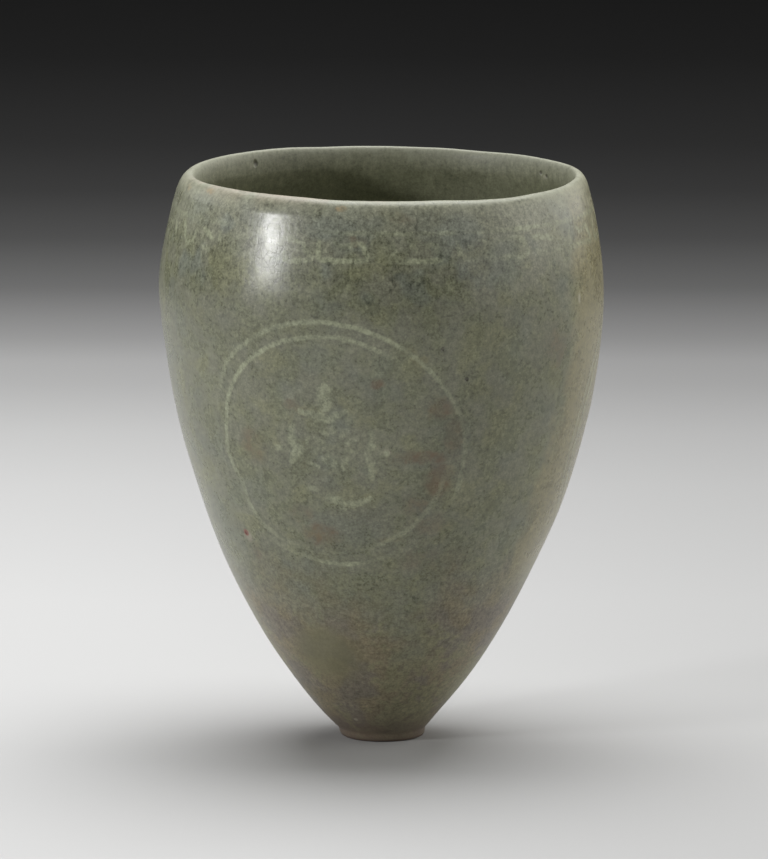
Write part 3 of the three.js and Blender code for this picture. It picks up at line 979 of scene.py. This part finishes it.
# Stains and spots: azimuth, height, half width, half height, strength
stains = {
    "rust": [
        (-1.6, 83.1, 1.5, 1.2, 1), (15.4, 77.9, 2.6, 2.4, .8), (-38.5, 68.6, 3, 3.6, .55),
        (10.6, 67.4, 6, 1.4, .8), (19.5, 71.8, 2.4, 5, .65), (15.6, 61.7, 2.5, 4.2, 1),
        (9.8, 56.8, 3.2, 2.2, .45), (-19.8, 49.8, 3.6, 2.4, .8), (52.2, 88.7, 4, 5, .4),
        (38.3, 106.3, 1, .8, .5), (-6.6, 112.8, 2, .8, .5), (-26, 54.7, 2.4, 1.9, .4),
        (14.2, 52, 4, 2.2, .35), (5, 118.2, 2.6, 1, .35), (-47.8, 44.2, 1.6, 1.8, .4),
        (-25, 78.2, 2, 1.1, .45), (12.5, 44.5, 4, 2.4, .3),
    ],
    "warm": [
        (67.7, 76, 5, 8, .6), (63.9, 95, 2.6, 2, .6), (17.2, 60.5, .8, 4.6, .6), (-22, 50, 2.4, 1, .4),
        (7.1, 90.1, 1.6, .8, .7), (9.8, 88.2, 1.7, 1.1, .8), (-21, 77.2, 1.6, .9, .7),
        (-25.2, 74.4, .7, 1.6, .55), (1.8, 49, 3.2, .6, .6), (-2.9, 64, .6, 1.8, .55),
        (-5, 58.4, 1.6, .7, .45), (19.4, 63.5, 1, 2.4, .6),
    ],
    "blue": [
        (-13.8, 115.7, 6, 2.4, .8), (-4, 117, 3.5, 1.6, .5), (20.8, 114.8, 5.6, 3.4, .8),
        (-46.8, 115, 2.2, 1.8, .8), (-60, 118, 4, 2.2, .6), (-35, 116.5, 3, 1.6, .4),
        (-11.5, 75.4, 2.6, 2.6, .35), (-15.8, 66.3, 2.6, 1.8, .25), (34, 108, 4, 5, .4),
        (60, 114, 3, 2.6, .5),
    ],
    "smooth": [(-28.0, 21.8, 7.2, 7.2, 1.0)],
    "ochre": [
        (-11.7, 120.2, 1.2, .6, .8), (-72.0, 120.4, 1.6, .7, .45), (-58.0, 120.7, 1.6, .6, .8),
    ],
    "pink": [(-49.6, 47.4, 1.1, 1.2, .6), (1.0, 68.6, .9, .7, .5)],
    "redSpot": [(-50.3, 48.1, .72, .7, 1.0)],
    "fleck": [(61.8, 97.6, .5, 1.0, .6), (-24.4, 5.5, .45, .4, 1.0)],
    "innerFleck": [(-134.4, 118.6, .5, .7, .6), (121.2, 117.7, .6, .4, .5)],
    "pit": [(-50.3, 48.0, .3, .3, .35), (15.6, 90.5, .3, .4, .6), (22.2, 83.8, .38, .38, .75)],
    "innerPit": [
        (-136.3, 119.2, .7, .9, 1.0), (123.0, 118.6, .55, .45, .55), (120.0, 118.0, .4, .4, .5),
    ],
}


def wallPoint(azimuth, height, inner):
    if inner:
        return tuple(place(innerRadius(height), height, azimuth, 1.0))
    return tuple(place(radiusAt(min(height, cup["lipHeight"])), height, azimuth))


class Skin(Recipe):
    def __init__(self, name):
        super().__init__(name)
        self.where = self.scaled(self.make("ShaderNodeTexCoord", {}, {}, out=3), 1 / mm)
        self.x, self.y, self.height = self.parts(self.where)
        turn = self.make("ShaderNodeMath", {"operation": "ARCTAN2"}, {0: self.x, 1: 0 - self.y})
        self.azimuth = turn * math.degrees(1)
        self.outside = 1 - self.stored("within")
        self.clouds = {}
        for name, (size, detail, rough, start) in clouds.items():
            spot = self.vector("ADD", self.where, start)
            self.clouds[name] = self.cloud(spot, size, detail, rough)
        stretched = self.vector("MULTIPLY", self.where, glaze["streakStretch"])
        self.streaks = self.cloud(stretched, glaze["streakSize"], glaze["streakDetail"]) - 0.5
        self.warp()
        self.crack = self.cracks()
        self.shoulder = self.zone("shoulder", self.height)
        self.earth = self.zone("earth", self.height)
        self.smooth = self.spots("smooth", self.warped)
        self.lively = self.liveliness()
        self.rawFoot = self.zone("raw", self.stored("raw"))
        self.wornLitLip = self.wornLitLipShare()
        self.pits = self.spots("pit", self.where).orMore(self.spots("innerPit", self.where, inner=True))

    # A value moved up and down by clouds, which lie round 0.5
    def stirred(self, value, amounts):
        for name, amount in amounts.items():
            value = value + (self.clouds[name] - 0.5) * amount
        return value

    def weighed(self, weights):
        total = 0
        for name, weight in weights.items():
            total = total + self.clouds[name] * weight
        return total

    def zone(self, name, value):
        amounts, start, full = zones[name]
        return self.fade(self.stirred(value, amounts), start, full)

    # The places moved about, so that stains get a drifting edge
    def warp(self):
        sockets = {"Vector": self.where, "Scale": glaze["warpScale"], "Detail": glaze["warpDetail"]}
        noise = self.make("ShaderNodeTexNoise", {}, sockets, out=1)
        centred = self.vector("SUBTRACT", noise, (0.5, 0.5, 0.5))
        self.shift = self.scaled(centred, glaze["warpReach"])
        self.warped = self.vector("ADD", self.where, self.shift)

    def cracks(self):
        warped = self.vector("ADD", self.where, self.scaled(self.shift, glaze["crackWarp"]))
        sockets = {"Vector": warped, "Scale": glaze["crackScale"], "Randomness": 1.0}
        edges = self.make("ShaderNodeTexVoronoi", {"feature": "DISTANCE_TO_EDGE"}, sockets)
        return self.zone("crack", edges) * self.zone("cracked", self.clouds["medium"])

    def spots(self, kind, where, inner=False):
        total = None
        for azimuth, height, wide, tall, strength in stains[kind]:
            away = self.vector("SUBTRACT", where, wallPoint(azimuth, height, inner))
            away = self.vector("MULTIPLY", away, (1 / wide, 1 / wide, 1 / tall))
            reach = self.vector("LENGTH", away, (0, 0, 0), out=1)
            share = self.zone("spot", reach) * strength
            total = share if total is None else total.orMore(share)
        return total

    def liveliness(self):
        least = glaze["insideGrain"]
        lively = (1 - self.smooth * glaze["smoothCalm"]) * (least + self.outside * (1 - least))
        return lively * (1 + self.shoulder * self.outside * glaze["shoulderGrain"])

    # The pale lip's share: partly rubbed glaze, partly painted light on the lip
    def wornLitLipShare(self):
        ragged = self.stirred(glaze["wornLitLipMean"], glaze["wornLitLipSwing"]).orMore(0.0).orLess(1.0)
        return self.stored("crest") * ragged

    # Painted warm sheen: the right side of the wall is painted lighter and warmer, standing in for the
    # reflection of the right-hand lights
    def paintedWarmSheen(self):
        edge = self.azimuth - (self.height - glaze["sheenLeanFrom"]) * glaze["sheenLean"]
        side = self.zone("sheenNear", edge) * self.zone("sheenFar", self.azimuth)
        return side * self.zone("sheenLow", self.height)

    def firedColour(self):
        blend, patchy = self.blend, self.clouds["patchy"]
        colour = blend(self.zone("grey", self.clouds["medium"]), glaze["green"], glaze["grey"])
        colour = blend(self.zone("yellow", patchy) * shares["yellow"], colour, glaze["yellow"])
        blue = self.zone("blue", patchy) * (glaze["blueLeast"] + self.shoulder * glaze["blueShoulder"])
        colour = blend(blue.orMore(self.spots("blue", self.warped)), colour, glaze["blue"])
        earth = blend(self.zone("mauve", patchy), glaze["brown"], glaze["mauve"])
        earth = blend(self.zone("khaki", self.clouds["broad"]), earth, glaze["khaki"])
        colour = blend(self.earth * shares["earth"], colour, earth)
        # painted warm sheen on the right side
        colour = blend(self.paintedWarmSheen() * shares["paintedWarmSheen"], colour, glaze["warm"])
        colour = blend(self.smooth * shares["smooth"], colour, glaze["smooth"])
        colour = blend(self.zone("rim", self.height) * shares["pale"], colour, glaze["pale"])
        # painted light and shade inside: the inner wall is lighter towards the mouth and darker deeper
        # down
        inside = blend(self.zone("innerLitRim", self.height), glaze["inside"], glaze["insideLitRim"])
        return blend(1 - self.outside, colour, inside)

    def tone(self):
        tone = self.stirred(0, glaze["livelyTone"]) * self.lively + self.stirred(1, glaze["broadTone"])
        tone = tone + self.streaks * glaze["streakTone"] * self.shoulder * self.lively
        return self.even(tone)

    def stainedColour(self, tone):
        blend = self.blend
        colour = blend(1.0, self.firedColour(), tone, "MULTIPLY")
        colour = blend(self.crack * shares["crack"] * self.lively, colour, glaze["crack"])
        cloudy = self.zone("stained", self.weighed(glaze["stainCloud"]))
        for kind in ("rust", "warm"):
            spots = self.spots(kind, self.warped)
            solid = spots * (glaze["stainLeast"] + self.clouds["clump"] * glaze["stainClump"])
            colour = blend(spots * shares[kind] * cloudy.orMore(solid), colour, glaze[kind])
        return colour

    # The pale lip, partly glaze rubbed thin and partly painted light, the small spots, and the foot where
    # the glaze was wiped off
    def colour(self, tone):
        blend = self.blend
        leftFront = self.zone("leftHalf", self.x) * self.zone("frontHalf", self.y)
        pink = self.zone("pink", self.clouds["patchy"]) * leftFront
        # the pale lip: rubbed glaze with painted light
        wornLitLip = blend(pink, glaze["wornLitLip"], glaze["pink"])
        colour = blend(self.wornLitLip * shares["wornLitLip"], self.stainedColour(tone), wornLitLip)
        broken = self.zone("ochre", self.weighed(glaze["ochreCloud"]))
        colour = blend(self.spots("ochre", self.where) * broken, colour, glaze["ochre"])
        for kind in ("pink", "redSpot", "fleck"):
            colour = blend(self.spots(kind, self.where), colour, glaze[kind])
        colour = blend(self.spots("innerFleck", self.where, inner=True), colour, glaze["fleck"])
        colour = blend(self.pits, colour, glaze["pit"])
        foot = self.zone("foot", self.height) * self.outside
        colour = blend(foot * shares["foot"], colour, glaze["clay"])
        return blend(self.rawFoot, colour, glaze["clay"])

    def roughness(self):
        rough = self.stirred(glaze["roughness"], glaze["roughSwing"])
        rough = rough + self.earth * glaze["roughEarth"] + self.wornLitLip * glaze["roughWorn"]
        return rough + self.rawFoot * glaze["roughRaw"] + (1 - self.outside) * glaze["roughInside"]

    def bumps(self):
        height = self.stirred(0, glaze["bumps"]) + self.streaks * glaze["streakBump"] * self.shoulder
        return height * self.lively - self.crack * glaze["crackDepth"] - self.pits * glaze["pitDepth"]


def glazeMaterial():
    skin = Skin("celadon_glaze_skin")
    return skin.finish(skin.colour(skin.tone()), skin.roughness(), skin.bumps(), glaze["gloss"])


def slipMaterial():
    skin = Skin("white_slip_under_glaze")
    tone = skin.tone()
    edge = skin.stored("slipEdge")
    keep = skin.stored("slipKeep")
    share = skin.fade(skin.stirred(edge, slip["fray"]), *slip["edgeFade"])
    share = share * skin.fade(edge, *slip["coreFade"]) * keep
    share = share * skin.fade(skin.weighed(slip["wear"]) + keep * slip["keepWeight"], *slip["wearFade"])
    pale = skin.blend(1.0, glaze["slip"], tone, "MULTIPLY")
    colour = skin.blend(share, skin.colour(tone), pale)
    return skin.finish(colour, skin.roughness(), skin.bumps(), glaze["gloss"])


def addFloor():
    recipe = Recipe("studio_paper")
    coords = recipe.make("ShaderNodeTexCoord", {}, {}, out=3)
    across, back, _ = recipe.parts(coords)
    # Painted light falloff: the paper is painted darker the further back it lies, and on the right, where
    # less light falls
    share = back.orMore(0.0) / studio["floorPaintedFalloff"]
    grey = recipe.make("ShaderNodeValToRGB", {"stops": studio["floorFalloffStops"]}, {0: share})
    reach = studio["floorDimReach"]
    dim = 1 - recipe.fade(across, -reach, reach) * studio["floorDim"]
    grey = recipe.blend(1.0, grey, recipe.even(dim), "MULTIPLY")
    fibres = recipe.cloud(recipe.scaled(coords, 1 / mm), studio["fibreSize"], studio["fibreDetail"])
    shine = {"Specular IOR Level": studio["floorShine"]}
    recipe.finish(grey, studio["floorRoughness"], fibres * studio["fibreHeight"], shine)
    reach = studio["floorReach"]
    corners = [(-reach, -reach, 0), (reach, -reach, 0), (reach, reach, 0), (-reach, reach, 0)]
    mesh = bpy.data.meshes.new("studio_floor")
    mesh.from_pydata(corners, [], [(0, 1, 2, 3)])
    mesh.materials.append(recipe.material)
    floor = addObject("studio_floor", mesh)


addCamera()
addWorld()
addFloor()
for softbox in studio["boxes"]:
    addSoftbox(*softbox)
print("studio set")

glazeFinish = glazeMaterial()
slipFinish = slipMaterial()
print("finishes mixed")

buildBody(glazeFinish)
buildBand(slipFinish)
for ringNumber in range(rings["count"]):
    buildRing(ringNumber, slipFinish)
